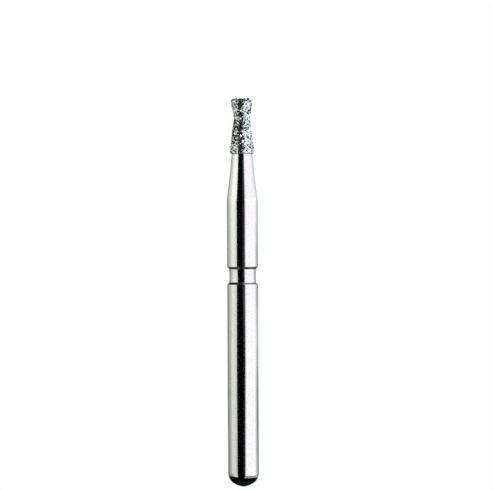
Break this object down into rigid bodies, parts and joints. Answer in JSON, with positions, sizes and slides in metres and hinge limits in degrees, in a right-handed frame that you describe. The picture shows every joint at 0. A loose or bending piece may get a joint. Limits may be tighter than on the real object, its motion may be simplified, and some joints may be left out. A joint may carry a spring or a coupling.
{
  "type": "dental bur",
  "caption": "Friction-grip dental bur: a polished steel shank with a ring groove and a tapered neck, and an hourglass head coated with diamond grit in nickel.",
  "frame": {"origin": "on the axis, at the rear tip of the shank", "axes": "+Z along the axis, from the rear end of the shank towards the cutting end"},
  "size_m": [0.0016, 0.0016, 0.0202],
  "materials": {
    "steel": "polished stainless steel with fine pits and turning marks",
    "nickel": "electroplated nickel, satin and slightly lumpy",
    "diamond": "natural diamond grit, glassy facets, grey-green to clear"
  },
  "bodies": {
    "root": {"blank": "steel", "nickel_bond": "nickel", "diamond_grit": "diamond"}
  },
  "joints": []
}
